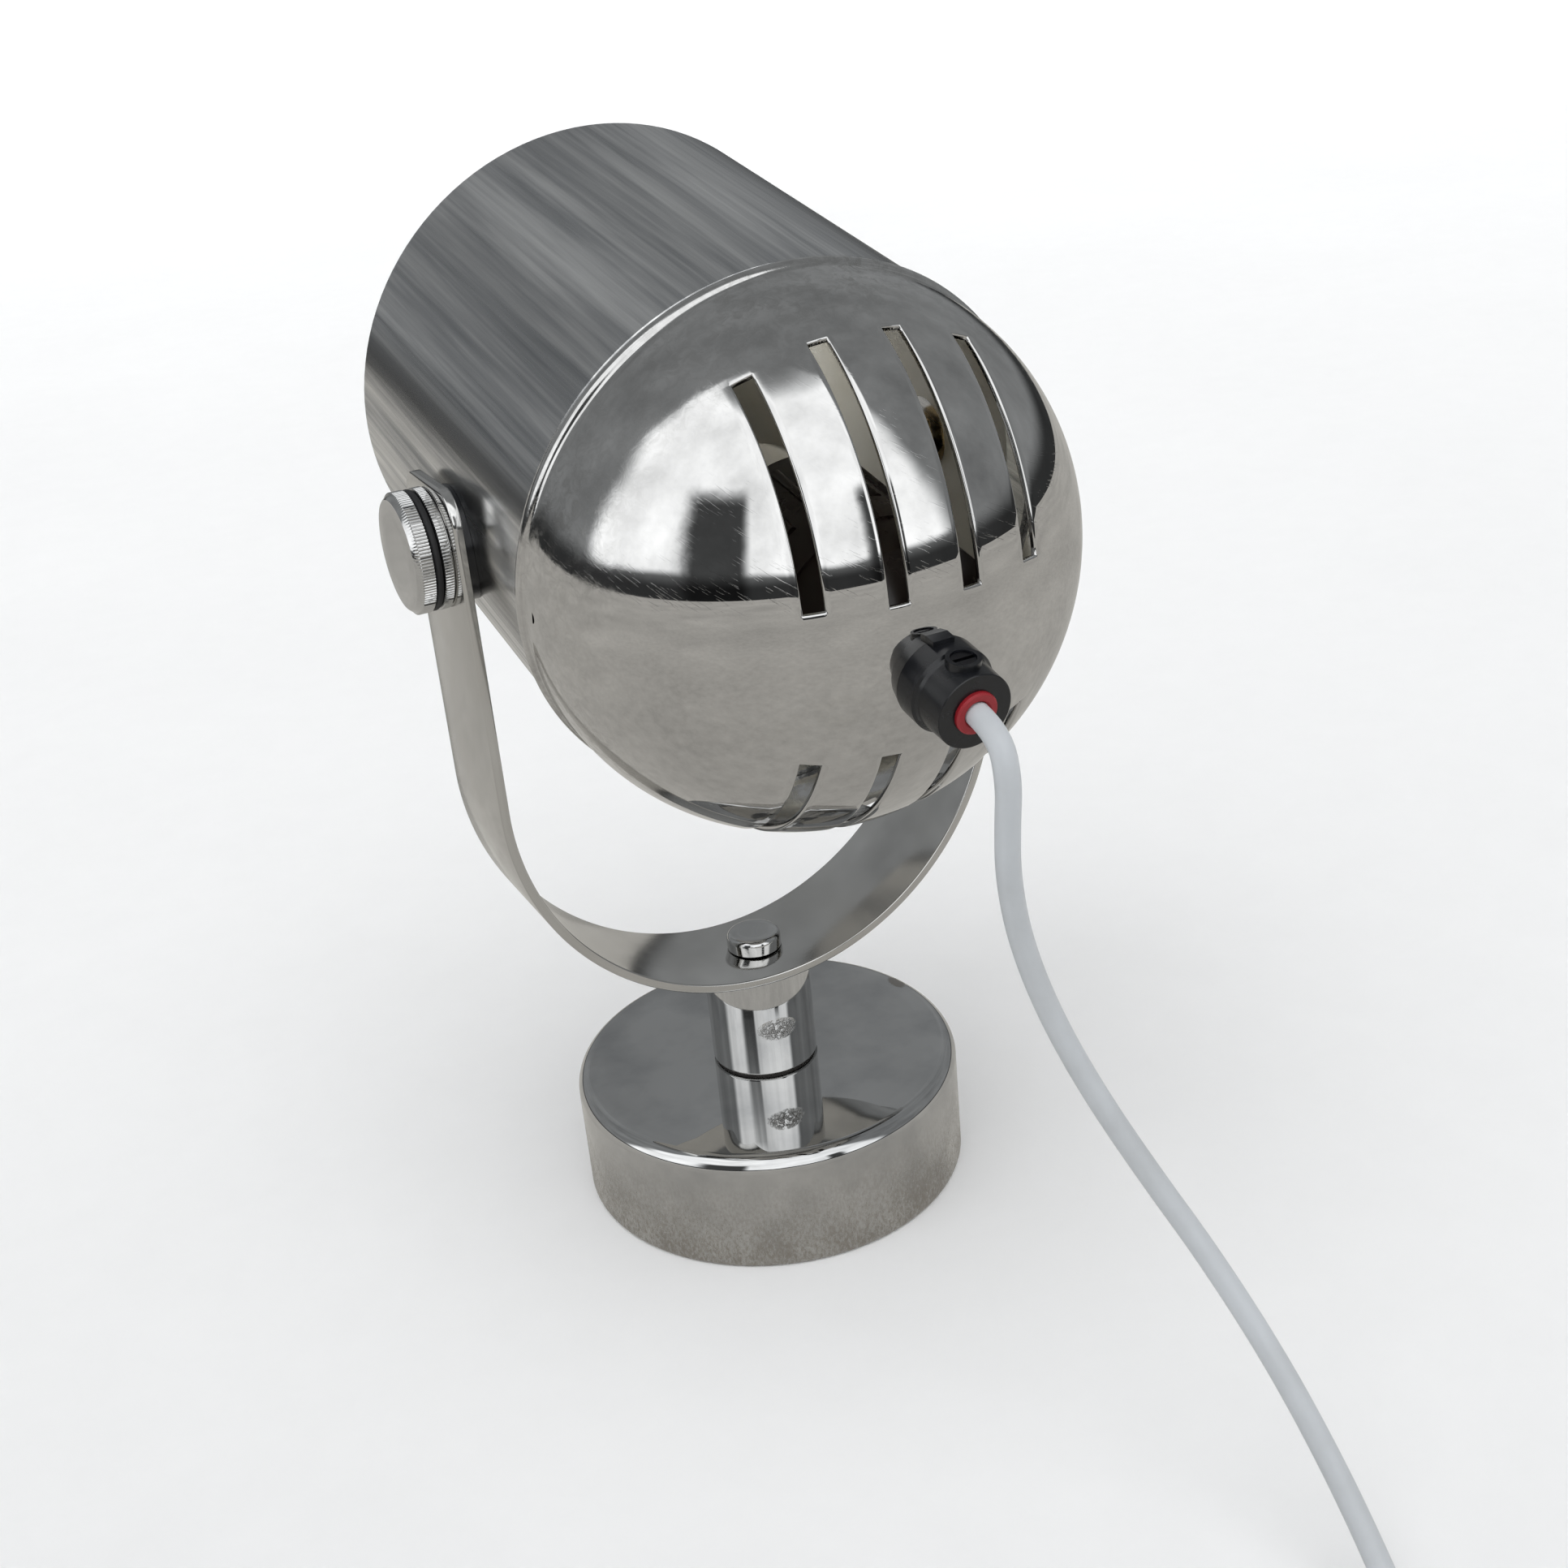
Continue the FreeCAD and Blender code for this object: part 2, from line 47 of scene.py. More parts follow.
# Shapes are in millimetres. The camera's shifts and the shaders' lengths are in metres.
PIVOT_Z = 165
HEAD_RISE = 4.5

# The head's own frame: +Z toward the light's mouth, +Y up, tilted 12 degrees about X.
TILT = math.radians(12)
UP = Vector((0, math.sin(TILT), math.cos(TILT)))
HEAD_AT = Vector((0, 0, PIVOT_Z)) + UP * HEAD_RISE
HEAD = Matrix.Translation(HEAD_AT) @ Matrix.Rotation(math.radians(90) - TILT, 4, "X")


def mm(*p):
    """A point given in millimetres, in metres."""
    return Vector(p) / 1000


# ---------------------------------------------------------------- camera

def add_camera():
    """Behind, above and a little to one side, turned slightly about its own line of sight."""
    az, el, roll = math.radians(154.814), math.radians(24.83), math.radians(-5.503)
    target = mm(0, 0, 100)
    shift_right, shift_up, distance = 0.010548, -0.002606, 0.425174
    back = Vector((math.sin(az) * math.cos(el), -math.cos(az) * math.cos(el), math.sin(el)))
    right = Vector((math.cos(az), math.sin(az), 0))
    up = back.cross(right)
    side = math.cos(roll) * right + math.sin(roll) * up
    top = -math.sin(roll) * right + math.cos(roll) * up
    spot = target + side * shift_right + top * shift_up + back * distance
    data = bpy.data.cameras.new("camera")
    data.sensor_width = 36
    data.lens = 44.486
    data.clip_start = 0.01
    cam = bpy.data.objects.new("camera", data)
    cam.matrix_world = Matrix.Translation(spot) @ Matrix((side, top, back)).transposed().to_4x4()
    scene.collection.objects.link(cam)
    scene.camera = cam


# ---------------------------------------------------------------- mesh helpers (millimetres in)

def to_object(name, bm, matrix=None, sharp=35):
    """Place the mesh, bring it to metres and smooth it up to the sharp angle in degrees."""
    if matrix is not None:
        bm.transform(matrix)
    bm.transform(Matrix.Scale(0.001, 4))
    bmesh.ops.recalc_face_normals(bm, faces=bm.faces)
    for f in bm.faces:
        f.smooth = True
    mesh = bpy.data.meshes.new(name)
    bm.to_mesh(mesh)
    bm.free()
    mesh.set_sharp_from_angle(angle=math.radians(sharp))
    obj = bpy.data.objects.new(name, mesh)
    scene.collection.objects.link(obj)
    return obj


def arc(cr, cz, radius, a0, a1, steps=8):
    """Points of an arc in an (r, z) profile; angles in degrees from the +r axis."""
    made = []
    for i in range(steps + 1):
        a = math.radians(a0 + (a1 - a0) * i / steps)
        made.append((cr + radius * math.cos(a), cz + radius * math.sin(a)))
    return made


def lathe(name, profile, matrix=None, segments=128, shape=None, closed=False, sharp=35):
    """Revolve (r, z) points about +Z; a point on the axis closes to one vertex."""
    bm = bmesh.new()
    rings = []
    for r, z in profile:
        if r < 1e-6:
            rings.append([bm.verts.new((0, 0, z))])
            continue
        ring = []
        for k in range(segments):
            a = 2 * math.pi * k / segments
            q = shape(r, z, a) if shape else r
            ring.append(bm.verts.new((q * math.cos(a), q * math.sin(a), z)))
        rings.append(ring)
    pairs = list(zip(rings, rings[1:]))
    if closed:
        pairs.append((rings[-1], rings[0]))
    for a, b in pairs:
        for k in range(segments):
            j = (k + 1) % segments
            if len(a) == 1:
                bm.faces.new((a[0], b[j], b[k]))
            elif len(b) == 1:
                bm.faces.new((a[k], a[j], b[0]))
            else:
                bm.faces.new((a[k], a[j], b[j], b[k]))
    return to_object(name, bm, matrix, sharp)


def stitch(bm, a, b):
    """Join two rings of equally many vertices with quads."""
    n = len(a)
    for k in range(n):
        j = (k + 1) % n
        bm.faces.new((a[k], a[j], b[j], b[k]))


# ---------------------------------------------------------------- mains lead

LEAD = [
    (0, 101.1, 148.1), (0, 108.4, 146.55), (0, 110.6, 138.5), (-1, 108, 130),
    (-2.5, 105, 118), (-5, 104.2, 104), (-8, 108, 90), (-12, 115, 76),
    (-17, 124, 62), (-22, 136, 48), (-25.5, 150, 33), (-26.5, 165, 18.5),
    (-24, 182, 6.5), (-17, 199.5, 2.3), (-7.8, 214.5, 2.3),
]
TAIL = [
    (59.3, 227.5, 6.9), (67, 221.5, 6.9), (73.4, 214.3, 6.9), (76, 205.5, 6.9),
    (76, 197.05, 6.9),
]
CABLE_D = 4.5
COIL_C = (28.1, 208.9)
COIL_R = 33.9
TURN_PITCH = 4.62
FLOOR_LAYER = 2.3
TOP_LAYER = 6.9
COIL_IN_AT = 150
COIL_OUT_AT = 52


def coil_points():
    """About four turns inward on the floor, a step up at the middle, about four out on top."""
    per_turn = 20
    low_steps, rise_steps, top_steps = 79, 5, 81
    turns = 8
    step = 360 / per_turn
    made = []
    for i in range(low_steps + 1):
        made.append((COIL_R - TURN_PITCH * i / per_turn, COIL_IN_AT - step * i, FLOOR_LAYER))
    r, a = made[-1][0], made[-1][1]
    for i in range(1, rise_steps):
        t = i / rise_steps
        lift = (TOP_LAYER - FLOOR_LAYER) * t * t * (3 - 2 * t)
        made.append((r, a - step * i, FLOOR_LAYER + lift))
    a -= step * rise_steps
    last = COIL_OUT_AT - 360 * turns
    for i in range(top_steps + 1):
        t = i / top_steps
        made.append((r + (COIL_R - r) * t, a + (last - a) * t, TOP_LAYER))
    points = []
    for r, a, z in made:
        a = math.radians(a)
        points.append((COIL_C[0] + r * math.cos(a), COIL_C[1] + r * math.sin(a), z))
    return points


def spline_line(name, points):
    """The points, in metres, that a smooth spline with these control points passes through."""
    curve = bpy.data.curves.new(name, "CURVE")
    curve.dimensions = "3D"
    spline = curve.splines.new("NURBS")
    spline.points.add(len(points) - 1)
    for p, q in zip(spline.points, points):
        p.co = (*mm(*q), 1)
    spline.order_u = 3
    spline.use_endpoint_u = True
    spline.resolution_u = 6
    holder = bpy.data.objects.new(name, curve)
    mesh = bpy.data.meshes.new_from_object(holder)
    line = [v.co.copy() for v in mesh.vertices]
    bpy.data.objects.remove(holder)
    return line


def path_length(line):
    return sum((b - a).length for a, b in zip(line, line[1:]))


def tube_along(name, line, radius, sides=24):
    """A round tube with rotation-minimising rings and closed ends. The line is in metres."""
    bm = bmesh.new()
    normal = Vector((1, 0, 0))
    rings = []
    for i, p in enumerate(line):
        t = (line[min(i + 1, len(line) - 1)] - line[max(i - 1, 0)]).normalized()
        normal = (normal - t * normal.dot(t)).normalized()
        side = t.cross(normal)
        ring = []
        for k in range(sides):
            a = 2 * math.pi * k / sides
            out = normal * math.cos(a) + side * math.sin(a)
            ring.append(bm.verts.new((p + out * radius) * 1000))
        rings.append(ring)
    for a, b in zip(rings, rings[1:]):
        stitch(bm, a, b)
    bm.faces.new(list(reversed(rings[0])))
    bm.faces.new(rings[-1])
    return to_object(name, bm)


def add_cord():
    """The lead as one tube along its whole route, standing for the three CAD lengths."""
    line = spline_line("lead_line", LEAD + coil_points() + TAIL)
    cord = tube_along("mains_lead", line, CABLE_D / 2000)
    print("cord length", path_length(line))
    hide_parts("cable_lead", "cable_coil", "cable_tail")
    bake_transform(cord)
    return cord


# ---------------------------------------------------------------- rear dome

# SPRING is where the dome's curve begins and RIM its front edge, both along the head's axis.
DOME_R = 54.06
DOME_H = 50.4
SPRING = -40.7
RIM = -33.6
WALL = 1.0

# Slots: distance from the centre plane, half width, edge rounding and where each one ends.
SLOTS = (7.1, 21.2)
HALF = 1.75
ROUND = 0.4
SLOT_INNER = 15.2
SLOT_OUTER = -58.5


def slot_span(x):
    """The slot's inner and rim end, as angles about the X axis, at that distance from centre."""
    lat = math.asin(x / DOME_R)
    inner = math.asin(SLOT_INNER / (DOME_R * math.cos(lat)))
    outer = math.acos((SPRING - SLOT_OUTER) / (DOME_H * math.cos(lat)))
    return inner, outer


def grid_lines(step, marks, limit):
    """Evenly spaced stations, cleared round the marked ones."""
    count = round(2 * limit / step)
    even = [-limit + 2 * limit * i / count for i in range(count + 1)]
    kept = [e for e in even if all(abs(e - m) > step * 0.3 for m in marks)]
    return sorted(set(kept + [-limit, limit] + list(marks)))


def dome():
    """Vented cap with rounded slot edges, a straight lip and a rolled bead."""
    near = (0, 0.1, 0.22, ROUND)
    cell = math.radians(1.5)
    lats = []
    longs = []
    for x in SLOTS:
        for edge, way in ((x - HALF, -1), (x + HALF, 1)):
            lats += [math.asin((edge + way * d) / DOME_R) for d in near]
        for end, way in zip(slot_span(x), (-1, 1)):
            longs += [end + way * d / DOME_R for d in near]
    lats = grid_lines(cell, [s * a for a in lats for s in (1, -1)], math.pi / 2 - 0.02)
    longs = grid_lines(cell, [s * a for a in longs for s in (1, -1)], math.pi / 2)

    def in_slot(lat, long):
        x = abs(DOME_R * math.sin(lat))
        for c in SLOTS:
            a, b = slot_span(c)
            if abs(x - c) < HALF and a < abs(long) < b:
                return True
        return False

    def inset(lat, long):
        """How far the outer face is let in near a slot, which rounds the slot's edge."""
        x = abs(DOME_R * math.sin(lat))
        least = ROUND
        for c in SLOTS:
            a, b = slot_span(c)
            dx = max(abs(x - c) - HALF, 0)
            dy = max(a - abs(long), abs(long) - b, 0) * DOME_R * math.cos(lat)
            least = min(least, math.hypot(dx, dy))
        gap = ROUND - least
        return ROUND - math.sqrt(max(ROUND * ROUND - gap * gap, 0))

    def point(lat, long, off):
        r, h = DOME_R - off, DOME_H - off
        return (r * math.sin(lat), r * math.cos(lat) * math.sin(long),
                SPRING - h * math.cos(lat) * math.cos(long))

    bm = bmesh.new()
    out = [[bm.verts.new(point(a, b, inset(a, b))) for b in longs] for a in lats]
    back = [[bm.verts.new(point(a, b, WALL)) for b in longs] for a in lats]
    open_cell = {}
    for i in range(len(lats) - 1):
        for j in range(len(longs) - 1):
            mid = ((lats[i] + lats[i + 1]) / 2, (longs[j] + longs[j + 1]) / 2)
            open_cell[i, j] = in_slot(*mid)
            if open_cell[i, j]:
                continue
            bm.faces.new((out[i][j], out[i + 1][j], out[i + 1][j + 1], out[i][j + 1]))
            bm.faces.new((back[i][j], back[i][j + 1], back[i + 1][j + 1], back[i + 1][j]))
    for (i, j), opened in open_cell.items():
        if not opened:
            continue
        sides = (((i, j), (i + 1, j), (i, j - 1)), ((i, j + 1), (i + 1, j + 1), (i, j + 1)),
                 ((i, j), (i, j + 1), (i - 1, j)), ((i + 1, j), (i + 1, j + 1), (i + 1, j)))
        for (a, b), (c, d), neighbour in sides:
            if not open_cell[neighbour]:
                bm.faces.new((out[a][b], out[c][d], back[c][d], back[a][b]))
    rim = [(i, len(longs) - 1) for i in range(len(lats))]
    rim += [(i, 0) for i in reversed(range(len(lats)))]
    bead_r, bead_in, bead_z = 1.86, 0.92, -35.4
    lip = [(DOME_R, SPRING + 1.5), (DOME_R, SPRING + 3.1)]
    lip += arc(DOME_R - bead_in, bead_z, bead_r, -55, 60, 12)
    lip += [(DOME_R - 0.3, RIM - 0.06), (DOME_R - 0.7, RIM)]
    lip += [(DOME_R - WALL, RIM - 0.3), (DOME_R - WALL, SPRING + 0.5)]
    previous = [out[i][j] for i, j in rim]
    angles = [math.atan2(v.co.y, v.co.x) for v in previous]
    for r, z in lip:
        ring = [bm.verts.new((r * math.cos(a), r * math.sin(a), z)) for a in angles]
        stitch(bm, previous, ring)
        previous = ring
    stitch(bm, previous, [back[i][j] for i, j in rim])
    # Inner faces take the second material, a near-black painted shade for the hollow.
    inside = set(v for row in back for v in row)
    for f in bm.faces:
        f.material_index = 1 if all(v in inside for v in f.verts) else 0
    bmesh.ops.remove_doubles(bm, verts=bm.verts, dist=0.002)
    return to_object("dome", bm, HEAD, 50)


# ---------------------------------------------------------------- knobs

KNOB_X = 58.27


def knob_place(side):
    """From a knob's own frame, +Z outward from the arm, to its place on either side."""
    turned = Matrix.Rotation(math.radians(90 * side), 4, "Y")
    return Matrix.Translation((side * KNOB_X, 0, PIVOT_Z)) @ turned


def knob(name, side):
    """Straight-knurled clamping knob with a groove for its rubber ring and a bevelled face."""
    ridges = 116
    cut = 0.28
    bore = 3.1
    radius = 12.0
    length = 7.5

    def knurl(r, z, a):
        if r < radius - 0.35 or not 0.35 < z < length - 1.15 or 2.1 < z < 3.9:
            return r
        wave = abs(((a * ridges / (2 * math.pi)) % 1) - 0.5) * 2
        return r - cut * (1 - min(1, wave * 1.5))

    profile = [(bore, 0.0), (radius - 0.55, 0.0), (radius - 0.3, 0.3), (radius, 0.4)]
    profile += [(radius, 1.2), (radius, 2.0), (radius - 0.4, 2.16), (radius - 1.2, 2.2)]
    profile += [(radius - 1.2, 3.8), (radius - 0.4, 3.84), (radius, 4.0), (radius, 5.0)]
    profile += [(radius, length - 1.2), (radius - 0.32, length - 1.05)]
    profile += [(radius - 0.95, length - 0.28), (radius - 1.2, length - 0.06)]
    profile += [(radius - 1.5, length), (radius * 0.5, length), (0, length)]
    return lathe(name, profile, knob_place(side), ridges * 6, knurl, sharp=28)


def knob_ring(name, side):
    """Rubber ring seated in the knob's groove, bulging a little."""
    profile = [(10.85, 2.25), (11.3, 2.3)]
    profile += arc(11.2, 3.0, 0.72, -62, 62, 8)
    profile += [(11.3, 3.7), (10.85, 3.75)]
    return lathe(name, profile, knob_place(side), 128, None, True)


# ---------------------------------------------------------------- yoke strip

def yoke_strip():
    """Bent strip with softly broken edges and round arm ends."""
    radius = 57.15
    thick, width, corner, soft = 2.0, 28.6, 7.0, 0.35
    centre, top = 112.15, 178.4
    straight = top - centre
    path = []
    rows = [0, 0.15, 0.5, 1, 1.8, 2.8, 4, 5.4, 7, 10, 14, 20, 28, 36, 44, 52, 60, straight]
    for s in rows:
        path.append((s, Vector((-radius, 0, top - s)), Vector((-1, 0, 0))))
    turns = 96
    for i in range(1, turns):
        a = math.pi + math.pi * i / turns
        out = Vector((math.cos(a), 0, math.sin(a)))
        path.append((straight, Vector((0, 0, centre)) + out * radius, out))
    for s in reversed(rows):
        path.append((s, Vector((radius, 0, top - s)), Vector((1, 0, 0))))
    bm = bmesh.new()
    rings = []
    for s, p, out in path:
        half = width / 2
        if s < corner:
            half -= corner - math.sqrt(max(corner ** 2 - (corner - s) ** 2, 0))
        t = thick / 2
        if s < soft:
            t -= soft - math.sqrt(max(soft ** 2 - (soft - s) ** 2, 0))
        section = []
        for k in range(4):
            sy, sn = (1, -1, -1, 1)[k], (1, 1, -1, -1)[k]
            for step in range(4):
                q = math.radians(90 * k + 30 * step)
                across = sy * (half - soft) + soft * math.cos(q)
                section.append((across, sn * (t - soft) + soft * math.sin(q)))
        rings.append([bm.verts.new(p + Vector((0, y, 0)) + out * n) for y, n in section])
    for a, b in zip(rings, rings[1:]):
        stitch(bm, a, b)
    bm.faces.new(rings[0])
    bm.faces.new(list(reversed(rings[-1])))
    return to_object("yoke_strip", bm, None, 50)


# ---------------------------------------------------------------- base, post, screw

def base_cup():
    """Spun cup: flat top with the post's hole, a round shoulder and a turned-in lower edge."""
    hole, radius, inner, top, edge = 4.2, 44.4, 43.2, 28.25, 3.4
    profile = [(hole, top), (12, top), (25, top), (37, top)]
    profile += arc(radius - edge, top - edge, edge, 90, 0, 18)
    profile += [(radius, 18), (radius, 8), (radius, 1.0), (44.2, 0.5), (43.6, 0.42)]
    profile += [(43.25, 0.6), (inner, 8), (inner, 25)]
    return lathe("base_cup", profile, None, 256)


def screw_head():
    """Round head of the screw that holds the yoke, with a short stretch of its shank."""
    radius, shank, under = 6.2, 2.4, 56.4
    profile = [(0, 60.3), (3.2, 60.28)]
    profile += arc(radius - 1.5, 58.75, 1.5, 80, 0, 10)
    profile += [(radius, 57.4), (6.15, 56.6), (5.9, 56.45), (shank, under), (shank, 52)]
    return lathe("screw_head", profile, None, 96)


# ---------------------------------------------------------------- material nodes

class Graph:
    """A little shorthand for shader node trees."""

    def __init__(self, name, **sockets):
        self.mat = bpy.data.materials.new(name)
        self.mat.use_nodes = True
        self.tree = self.mat.node_tree
        self.shader = self.tree.nodes["Principled BSDF"]
        for key, value in sockets.items():
            self.shader.inputs[key.replace("_", " ")].default_value = value

    def node(self, kind, **inputs):
        made = self.tree.nodes.new("ShaderNode" + kind)
        for key, value in inputs.items():
            self.put(made, key.replace("_", " "), value)
        return made

    def put(self, node, key, value):
        socket = node.inputs[int(key) if key.isdigit() else key]
        if isinstance(value, bpy.types.NodeSocket):
            self.tree.links.new(value, socket)
        else:
            socket.default_value = value

    def coords(self, scale=(1, 1, 1), turn=(0, 0, 0)):
        tex = self.node("TexCoord")
        turned = self.node("Mapping", Vector=tex.outputs["Object"], Rotation=turn)
        mapping = self.node("Mapping", Vector=turned.outputs["Vector"], Scale=scale)
        return mapping.outputs["Vector"]

    def noise(self, vector, scale, detail=4.0, rough=0.5, distortion=0.0):
        made = self.node("TexNoise", Vector=vector, Scale=scale, Detail=detail, Roughness=rough,
                         Distortion=distortion)
        return made.outputs["Fac"]

    def fade(self, value, low, high):
        """0 at the first value, 1 at the second, and level past both."""
        return self.node("MapRange", Value=value, From_Min=low, From_Max=high).outputs[0]

    def ramp(self, fac, *stops):
        made = self.node("ValToRGB", Fac=fac)
        band = made.color_ramp
        while len(band.elements) < len(stops):
            band.elements.new(0.5)
        for item, (at, value) in zip(band.elements, stops):
            item.position = at
            item.color = (*value, 1) if isinstance(value, tuple) else (value, value, value, 1)
        return made.outputs["Color"]

    def math(self, op, a, b=0.0):
        made = self.tree.nodes.new("ShaderNodeMath")
        made.operation = op
        self.put(made, "0", a)
        self.put(made, "1", b)
        return made.outputs[0]

    def mix(self, fac, a, b):
        made = self.tree.nodes.new("ShaderNodeMix")
        made.data_type = "RGBA"
        self.put(made, "0", fac)
        for index, value in ((6, a), (7, b)):
            if isinstance(value, bpy.types.NodeSocket):
                self.tree.links.new(value, made.inputs[index])
            else:
                made.inputs[index].default_value = (*value, 1) if len(value) == 3 else value
        return made.outputs[2]

    def bump(self, height, distance, strength=1.0):
        made = self.node("Bump", Height=height, Distance=distance, Strength=strength)
        return made.outputs["Normal"]

    def patch(self, place, centre, full, none, stretch=(1, 1, 1)):
        """1 within a distance of a point on the piece, fading to 0 at another."""
        away = self.node("VectorMath", **{"0": place, "1": centre})
        away.operation = "SUBTRACT"
        scaled = self.node("Mapping", Vector=away.outputs[0], Scale=stretch)
        far = self.node("VectorMath", **{"0": scaled.outputs[0]})
        far.operation = "LENGTH"
        return self.fade(far.outputs["Value"], none, full)

    def head_depth(self, place):
        """Metres along the head's axis, forward of its centre, from coordinates turned to it."""
        turn = HEAD_TURN[0]
        centre = (HEAD_AT.y * math.sin(turn) + HEAD_AT.z * math.cos(turn)) / 1000
        split = self.node("SeparateXYZ", Vector=place)
        return self.math("ADD", split.outputs["Z"], -centre)

    def out(self, **sockets):
        for key, value in sockets.items():
            self.put(self.shader, key.replace("_", " "), value)
        return self.mat


# Turns a piece's own coordinates so that Z runs along the head's axis.
HEAD_TURN = (-(math.radians(90) - TILT), 0, 0)

# Places of wear, in metres.
SCUFF_AT = (0.0017, 0.012, 0.0405)
RUST_AT = (-0.0405, -0.0082, 0.0282)


def chrome(name):
    """Bright plate with faint smears and hairline scratches."""
    g = Graph(name, Metallic=1.0)
    tint = (0.60, 0.60, 0.595)
    base = g.coords()
    smear = g.noise(base, 38.0, 6.0, 0.62)
    fine = g.noise(g.coords((1, 1, 1), (0.4, 0.9, 0.2)), 900.0, 3.0, 0.6)
    rough = g.ramp(smear, (0.4, 0.03), (0.72, 0.10))
    rough = g.math("ADD", rough, g.math("MULTIPLY", fine, 0.02))
    colour = g.mix(g.ramp(smear, (0.45, 0.0), (0.8, 0.5)), tint, tuple(0.86 * c for c in tint))
    scratch = g.noise(g.coords((1.0, 1.0, 14.0), (0.3, 0.5, 1.1)), 260.0, 2.0, 0.5)
    normal = g.bump(g.ramp(scratch, (0.60, 0.0), (0.66, 1.0)), 0.000004)
    return g.out(Base_Color=colour, Roughness=rough, Normal=normal)


def chrome_post(name):
    """Mirror post with one crushed, sparkling scuff at mid height."""
    g = Graph(name, Metallic=1.0)
    place = g.coords()
    near = g.patch(place, SCUFF_AT, 0.002, 0.0048, (1, 1, 1.7))
    chips = g.noise(place, 1100.0, 4.0, 0.7, 0.8)
    spot = g.math("MULTIPLY", near, g.ramp(chips, (0.44, 0.0), (0.54, 1.0)))
    smear = g.noise(place, 60.0, 5.0, 0.6)
    colour = g.mix(g.math("MULTIPLY", spot, 0.5), (0.62, 0.62, 0.615), (0.30, 0.29, 0.28))
    rough = g.math("ADD", g.ramp(smear, (0.4, 0.02), (0.75, 0.07)), g.math("MULTIPLY", spot, 0.15))
    height = g.math("MULTIPLY", spot, chips)
    return g.out(Base_Color=colour, Roughness=rough, Normal=g.bump(height, 0.0006))


def chrome_tube(name):
    """Drawn tube: long dull streaks along its axis, broken by paler ones; the dark and pale colour
    bands are partly the drawn finish and partly painted reflection streaks.
    """
    g = Graph(name, Metallic=1.0)
    wide = g.noise(g.coords((1, 1, 0.045), HEAD_TURN), 150.0, 5.0, 0.6, 0.4)
    thin = g.noise(g.coords((1, 1, 0.02), HEAD_TURN), 620.0, 3.0, 0.55)
    slow = g.noise(g.coords((1, 1, 0.3), HEAD_TURN), 26.0, 3.0, 0.5)
    streak = g.math("ADD", g.math("MULTIPLY", wide, 0.62), g.math("MULTIPLY", thin, 0.38))
    both = g.math("ADD", g.math("MULTIPLY", streak, 0.75), g.math("MULTIPLY", slow, 0.25))
    # Colour bands run from far darker to brighter than plate: partly drawn finish, partly painted
    # reflection streaks along the axis.
    colour = g.ramp(both, (0.36, (0.27, 0.28, 0.29)), (0.46, (0.46, 0.465, 0.47)),
                    (0.54, (0.66, 0.66, 0.655)), (0.64, (0.88, 0.875, 0.86)))
    rough = g.ramp(both, (0.35, 0.34), (0.6, 0.15))
    return g.out(Base_Color=colour, Roughness=rough, Normal=g.bump(streak, 0.00003))


def chrome_dome(name):
    """Mirror dome whose rim zone is dulled by mottled pitting."""
    g = Graph(name, Metallic=1.0)
    place = g.coords((1, 1, 1), HEAD_TURN)
    smear = g.noise(place, 30.0, 5.0, 0.55)
    mottle = g.noise(place, 420.0, 5.0, 0.7, 0.6)
    zone = g.fade(g.head_depth(place), -0.066, -0.046)
    zone = g.math("MULTIPLY", zone, g.ramp(smear, (0.38, 0.25), (0.62, 1.0)))
    pits = g.math("MULTIPLY", zone, g.ramp(mottle, (0.42, 0.1), (0.6, 1.0)))
    colour = g.mix(g.math("MULTIPLY", pits, 0.6), (0.61, 0.605, 0.595), (0.33, 0.325, 0.31))
    rough = g.math("ADD", g.math("MULTIPLY", pits, 0.24), g.ramp(smear, (0.4, 0.012), (0.75, 0.05)))
    scratch = g.noise(g.coords((1.0, 1.0, 16.0), (0.3, 0.5, 1.1)), 240.0, 2.0, 0.5)
    scratch = g.math("MULTIPLY", g.ramp(scratch, (0.63, 0.0), (0.67, 1.0)), 0.05)
    height = g.math("ADD", g.math("MULTIPLY", mottle, zone), scratch)
    return g.out(Base_Color=colour, Roughness=rough, Normal=g.bump(height, 0.00003))


def chrome_base(name):
    """Base cup: mirror top with cloudy patches, lower wall freckled with brown pitting."""
    g = Graph(name, Metallic=1.0)
    place = g.coords()
    split = g.node("SeparateXYZ", Vector=place)
    cloud = g.noise(place, 60.0, 4.0, 0.55)
    freckle = g.noise(g.coords((1, 1, 0.55)), 1500.0, 5.0, 0.75)
    grain = g.noise(g.coords((1, 1, 0.3)), 380.0, 3.0, 0.6)
    low = g.fade(split.outputs["Z"], 0.024, 0.004)
    wall = g.fade(split.outputs["Z"], 0.0262, 0.0235)
    spots = g.math("ADD", freckle, g.math("MULTIPLY", cloud, 0.35))
    spots = g.math("MULTIPLY", low, g.ramp(spots, (0.56, 0.0), (0.78, 1.0)))
    rust = g.patch(place, RUST_AT, 0.0006, 0.0038, (1.5, 0.8, 1))
    rust = g.ramp(g.math("ADD", rust, g.math("MULTIPLY", freckle, 0.7)), (0.72, 0.0), (0.86, 1.0))
    spots = g.math("MAXIMUM", spots, rust)
    metal = g.mix(g.ramp(cloud, (0.42, 0.0), (0.7, 0.8)), (0.60, 0.60, 0.595), (0.44, 0.445, 0.45))
    colour = g.mix(g.math("MULTIPLY", spots, 0.6), metal, (0.27, 0.23, 0.185))
    rough = g.math("ADD", g.math("MULTIPLY", wall, 0.13), g.math("MULTIPLY", spots, 0.25))
    rough = g.math("ADD", rough, g.ramp(cloud, (0.42, 0.015), (0.72, 0.07)))
    grain = g.math("MULTIPLY", g.math("MULTIPLY", grain, wall), 0.3)
    height = g.math("ADD", g.math("MULTIPLY", spots, -1.0), grain)
    return g.out(Base_Color=colour, Roughness=rough, Normal=g.bump(height, 0.00002))


